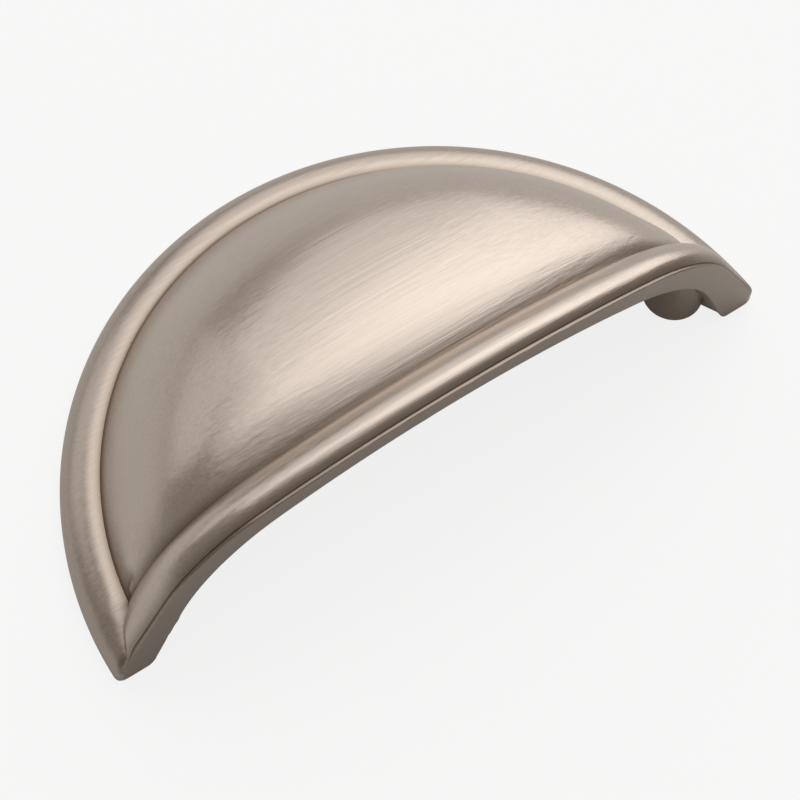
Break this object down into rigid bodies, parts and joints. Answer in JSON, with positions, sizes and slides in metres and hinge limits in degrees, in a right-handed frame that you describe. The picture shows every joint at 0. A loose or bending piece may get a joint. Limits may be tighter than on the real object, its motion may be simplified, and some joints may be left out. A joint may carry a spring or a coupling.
{
  "type": "cup pull",
  "caption": "Half-moon cup pull: a hollow dome with a round rim, a beaded lip over a wide arched finger opening, and a screw post behind each end of the lip.",
  "frame": {"origin": "middle of the box that holds the pull, on the flat back face that meets the drawer front", "axes": "+X along the length, -Y out of the finger opening, +Z away from the drawer front"},
  "size_m": [0.092, 0.046, 0.0263],
  "materials": {
    "nickel_plate": "satin nickel plate over a zinc die casting, brushed lengthwise, warm grey"
  },
  "bodies": {
    "root": {"cup_pull": "nickel_plate"}
  },
  "joints": []
}
